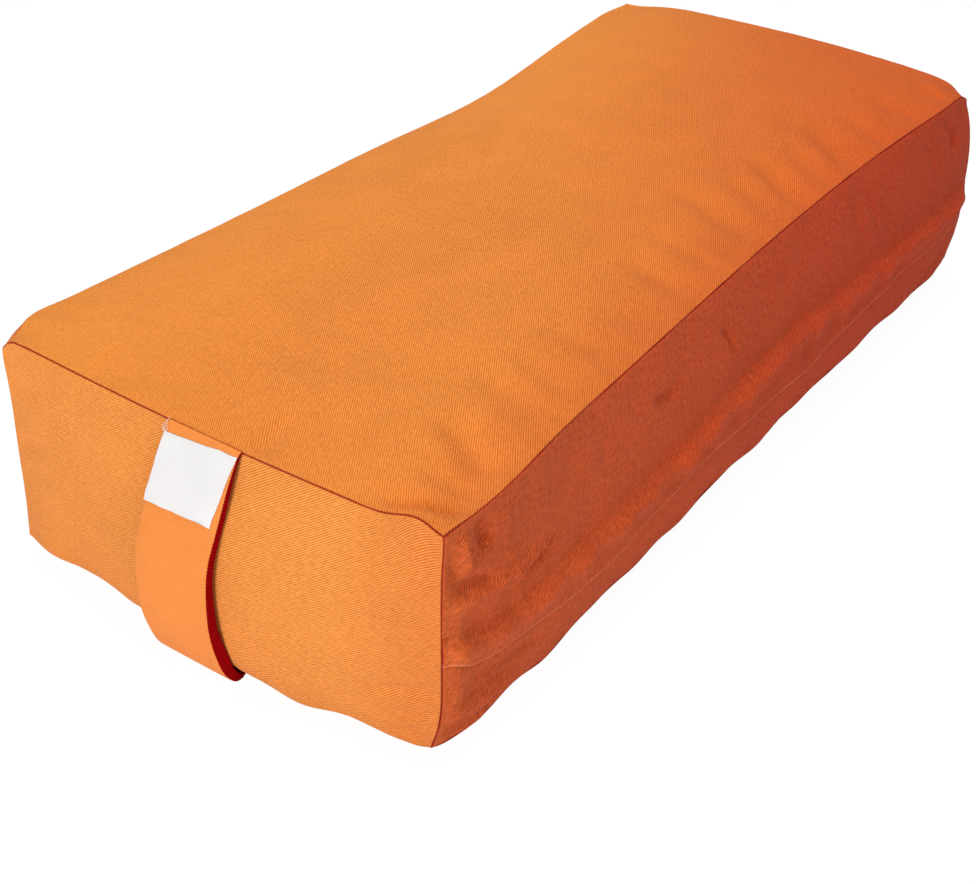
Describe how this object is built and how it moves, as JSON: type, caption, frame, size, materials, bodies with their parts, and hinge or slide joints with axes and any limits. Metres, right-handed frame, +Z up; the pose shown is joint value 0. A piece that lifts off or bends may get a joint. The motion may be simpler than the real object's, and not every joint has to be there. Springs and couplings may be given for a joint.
{
  "type": "rectangular yoga bolster",
  "caption": "Long stuffed floor cushion with crowned sewn panels, a webbing handle with a blank label on one end, and a zipped cover over an inner case.",
  "frame": {"origin": "on the floor under the middle of the cushion, halfway between its end seams and its side seams", "axes": "+Y along the length, away from the handle end; +X across the width, towards the zipped side; +Z up"},
  "size_m": [0.3208, 0.7131, 0.17],
  "materials": {
    "cover_twill": "orange cotton twill, matte, with fine diagonal ribs",
    "handle_webbing": "orange cotton webbing, matte, closely woven",
    "label_satin": "white satin, faint sheen",
    "zip_tape": "orange woven tape",
    "zip_coil": "orange nylon",
    "zip_metal": "orange enamel on zinc",
    "case_calico": "undyed calico",
    "cotton_filling": "packed cotton batting"
  },
  "bodies": {
    "cushion": {"cover_top_panel": "cover_twill", "cover_bottom_panel": "cover_twill", "cover_front_end_panel": "cover_twill", "cover_rear_end_panel": "cover_twill", "cover_left_side_panel": "cover_twill", "cover_right_side_panel": "cover_twill", "cover_zip_lower_strip": "cover_twill", "zip_tape_upper": "zip_tape", "zip_tape_lower": "zip_tape", "zip_coil_upper": "zip_coil", "zip_coil_lower": "zip_coil", "zip_front_stop": "zip_coil", "zip_rear_stop": "zip_coil", "handle_tail_upper": "handle_webbing", "handle_tail_lower": "handle_webbing", "handle_label": "label_satin", "inner_case": "case_calico", "filling_core": "cotton_filling"},
    "handle": {"handle_strap": "handle_webbing"},
    "flap": {"zip_flap": "cover_twill"},
    "slider": {"zip_slider": "zip_metal"},
    "pull": {"zip_pull_tab": "zip_metal"}
  },
  "joints": [
    {"name": "handle_pull", "type": "slide", "parent": "cushion", "child": "handle", "axis": [0, -1, 0], "range_m": [0, 0.012]},
    {"name": "flap_lift", "type": "hinge", "parent": "cushion", "child": "flap", "pos_m": [0.1608, 0, 0.078], "axis": [0, -1, 0], "range_deg": [0, 120]},
    {"name": "zip_slide", "type": "slide", "parent": "cushion", "child": "slider", "axis": [0, 1, 0], "range_m": [-0.572, 0]},
    {"name": "zip_pull_swing", "type": "hinge", "parent": "slider", "child": "pull", "pos_m": [0.1545, 0.286, 0.0635], "axis": [0, 0, 1], "range_deg": [0, 90]}
  ],
  "couplings": [
    {"joint": "zip_pull_swing", "follows": "flap_lift", "ratio": 0.75}
  ]
}
